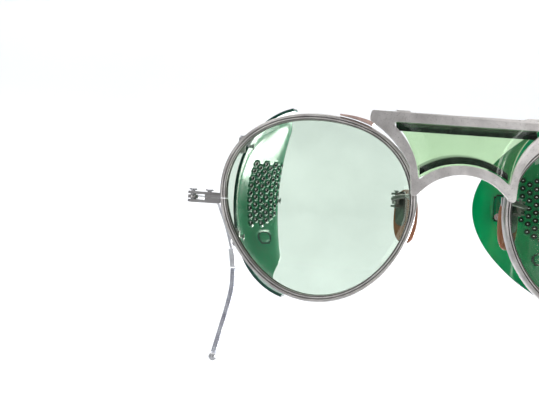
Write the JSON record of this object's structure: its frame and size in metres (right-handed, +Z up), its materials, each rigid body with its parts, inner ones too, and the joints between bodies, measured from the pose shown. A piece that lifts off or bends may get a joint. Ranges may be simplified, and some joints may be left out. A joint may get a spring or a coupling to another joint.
{
  "type": "glacier glasses",
  "caption": "Round glacier glasses with green lenses, a nose-bridge guard, folding green side shields, rocking nose pads and cable temples that hook round the ears.",
  "frame": {"origin": "on the centre plane between the nose pads, level with the lens centres, where the bridge of the nose is", "axes": "+X to the right as seen from the front, -Y the way the wearer looks, +Z up"},
  "size_m": [0.1424, 0.124, 0.0846],
  "materials": {
    "nickel_silver": "warm grey nickel silver, worn and lightly tarnished",
    "braze": "dull pinkish brown brazed metal",
    "steel": "worn drawn steel",
    "steel_cable": "finely wound steel, dark in the grooves",
    "green_glass": "polished, very pale green tint",
    "pale_celluloid": "translucent pale green celluloid with fine scratches",
    "green_celluloid": "deep green translucent celluloid, glossy",
    "amber_celluloid": "reddish tan, polished by wear"
  },
  "bodies": {
    "front": {"bridge_plate": "nickel_silver", "bridge_guard": "pale_celluloid", "right_rim": "nickel_silver", "right_lens": "green_glass", "right_top_lug": "braze", "right_upper_end_piece": "nickel_silver", "right_lower_end_piece": "nickel_silver", "right_rim_screw": "steel", "right_hinge_screw": "steel", "right_pad_arm": "nickel_silver", "right_shield_upper_bracket": "nickel_silver", "right_shield_upper_pin": "steel", "right_shield_lower_bracket": "nickel_silver", "right_shield_lower_pin": "steel", "left_rim": "nickel_silver", "left_lens": "green_glass", "left_top_lug": "braze", "left_upper_end_piece": "nickel_silver", "left_lower_end_piece": "nickel_silver", "left_rim_screw": "steel", "left_hinge_screw": "steel", "left_pad_arm": "nickel_silver", "left_shield_upper_bracket": "nickel_silver", "left_shield_upper_pin": "steel", "left_shield_lower_bracket": "nickel_silver", "left_shield_lower_pin": "steel"},
    "right_temple": {"right_temple_butt": "nickel_silver", "right_temple_wire": "steel", "right_cable_ferrule": "steel", "right_ear_cable": "steel_cable", "right_cable_bead": "steel"},
    "left_temple": {"left_temple_butt": "nickel_silver", "left_temple_wire": "steel", "left_cable_ferrule": "steel", "left_ear_cable": "steel_cable", "left_cable_bead": "steel"},
    "right_shield": {"right_side_shield": "green_celluloid", "right_shield_upper_leaf": "nickel_silver", "right_shield_upper_rivet": "steel", "right_shield_lower_leaf": "nickel_silver", "right_shield_lower_rivet": "steel", "right_temple_keeper": "nickel_silver", "right_keeper_rivet": "steel"},
    "left_shield": {"left_side_shield": "green_celluloid", "left_shield_upper_leaf": "nickel_silver", "left_shield_upper_rivet": "steel", "left_shield_lower_leaf": "nickel_silver", "left_shield_lower_rivet": "steel", "left_temple_keeper": "nickel_silver", "left_keeper_rivet": "steel"},
    "right_pad": {"right_nose_pad": "amber_celluloid", "right_pad_back": "nickel_silver", "right_pad_pin": "steel"},
    "left_pad": {"left_nose_pad": "amber_celluloid", "left_pad_back": "nickel_silver", "left_pad_pin": "steel"}
  },
  "joints": [
    {"name": "left_temple_fold", "type": "hinge", "parent": "front", "child": "left_temple", "pos_m": [-0.0699, 0.004, -0.0001], "axis": [-0.0262, 0, -0.9997], "range_deg": [0, 60]},
    {"name": "right_temple_fold", "type": "hinge", "parent": "front", "child": "right_temple", "pos_m": [0.0699, 0.004, -0.0001], "axis": [0.0262, 0, 0.9997], "range_deg": [0, 60]},
    {"name": "left_shield_fold", "type": "hinge", "parent": "front", "child": "left_shield", "pos_m": [-0.0576, 0.0048, 0], "axis": [0, 0, -1], "range_deg": [0, 62]},
    {"name": "right_shield_fold", "type": "hinge", "parent": "front", "child": "right_shield", "pos_m": [0.0576, 0.0048, 0], "axis": [0, 0, 1], "range_deg": [0, 4]},
    {"name": "left_pad_rock", "type": "hinge", "parent": "front", "child": "left_pad", "pos_m": [-0.01572, 0.0005, 0.0026], "axis": [0, 0, -1], "range_deg": [-10, 10]},
    {"name": "right_pad_rock", "type": "hinge", "parent": "front", "child": "right_pad", "pos_m": [0.01737, 0.00006, 0.0026], "axis": [0, 0, 1], "range_deg": [-10, 10]}
  ],
  "couplings": [
    {"joint": "left_shield_fold", "follows": "left_temple_fold", "ratio": 1.033},
    {"joint": "right_shield_fold", "follows": "right_temple_fold", "ratio": 0.066}
  ]
}
